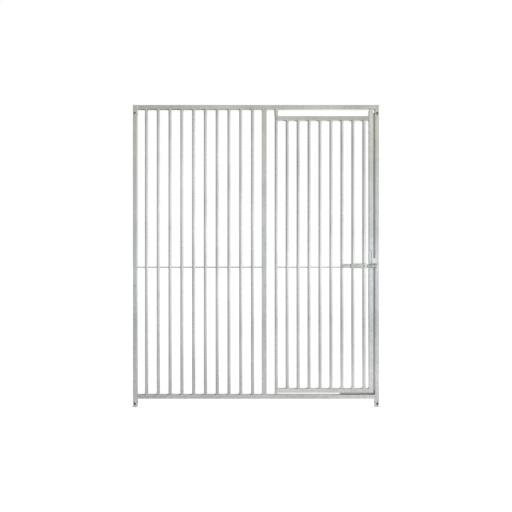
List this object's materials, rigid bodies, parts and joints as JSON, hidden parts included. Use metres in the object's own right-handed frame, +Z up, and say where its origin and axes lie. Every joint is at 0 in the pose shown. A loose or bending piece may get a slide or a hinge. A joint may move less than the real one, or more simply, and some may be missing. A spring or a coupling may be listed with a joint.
{
  "type": "livestock pen panel with door",
  "caption": "Galvanised square-tube pen panel with upright round bars: a fixed bay beside a hinged bar door that a hand-thrown slide bolt holds shut.",
  "frame": {"origin": "on the ground, halfway between the outer posts, in the plane of the frame's front face", "axes": "+X to the right seen from the bolt's side, +Y away from that side, +Z up"},
  "size_m": [1.5, 0.0567, 1.84],
  "materials": {
    "square_tube": "hot-dip galvanised, dull grey with faint zinc spangle",
    "round_bar": "hot-dip galvanised round tube",
    "strip_and_rod": "hot-dip galvanised flat strip and thin rod",
    "fittings": "brighter galvanised hinge and bolt fittings"
  },
  "bodies": {
    "frame": {"left_post": "square_tube", "mid_post": "square_tube", "right_post": "square_tube", "top_rail": "square_tube", "bottom_rail": "square_tube", "panel_bar_1": "round_bar", "panel_bar_2": "round_bar", "panel_bar_3": "round_bar", "panel_bar_4": "round_bar", "panel_bar_5": "round_bar", "panel_bar_6": "round_bar", "panel_bar_7": "round_bar", "panel_bar_8": "round_bar", "panel_bar_9": "round_bar", "panel_bar_10": "round_bar", "panel_cross_rod": "strip_and_rod", "hinge_sleeve": "fittings", "hinge_pin": "fittings", "gap_strip": "strip_and_rod", "sill_stop": "strip_and_rod", "bolt_keeper": "fittings"},
    "door": {"hinge_bar": "round_bar", "door_top_rail": "square_tube", "door_bottom_rail": "square_tube", "lock_stile": "square_tube", "door_bar_1": "round_bar", "door_bar_2": "round_bar", "door_bar_3": "round_bar", "door_bar_4": "round_bar", "door_bar_5": "round_bar", "door_bar_6": "round_bar", "door_bar_7": "round_bar", "door_bar_8": "round_bar", "door_cross_rod": "strip_and_rod", "overlap_tab": "fittings", "latch_barrel": "round_bar", "latch_collar": "fittings", "bolt_guide": "fittings"},
    "bolt": {"bolt_rod": "fittings", "bolt_grip": "fittings", "bolt_stop_pin": "fittings"}
  },
  "joints": [
    {"name": "door_swing", "type": "hinge", "parent": "frame", "child": "door", "pos_m": [0.124, 0.012, 0.9], "axis": [0, 0, -1], "range_deg": [0, 145]},
    {"name": "bolt_slide", "type": "slide", "parent": "door", "child": "bolt", "axis": [1, 0, 0], "range_m": [0, 0.02]}
  ]
}
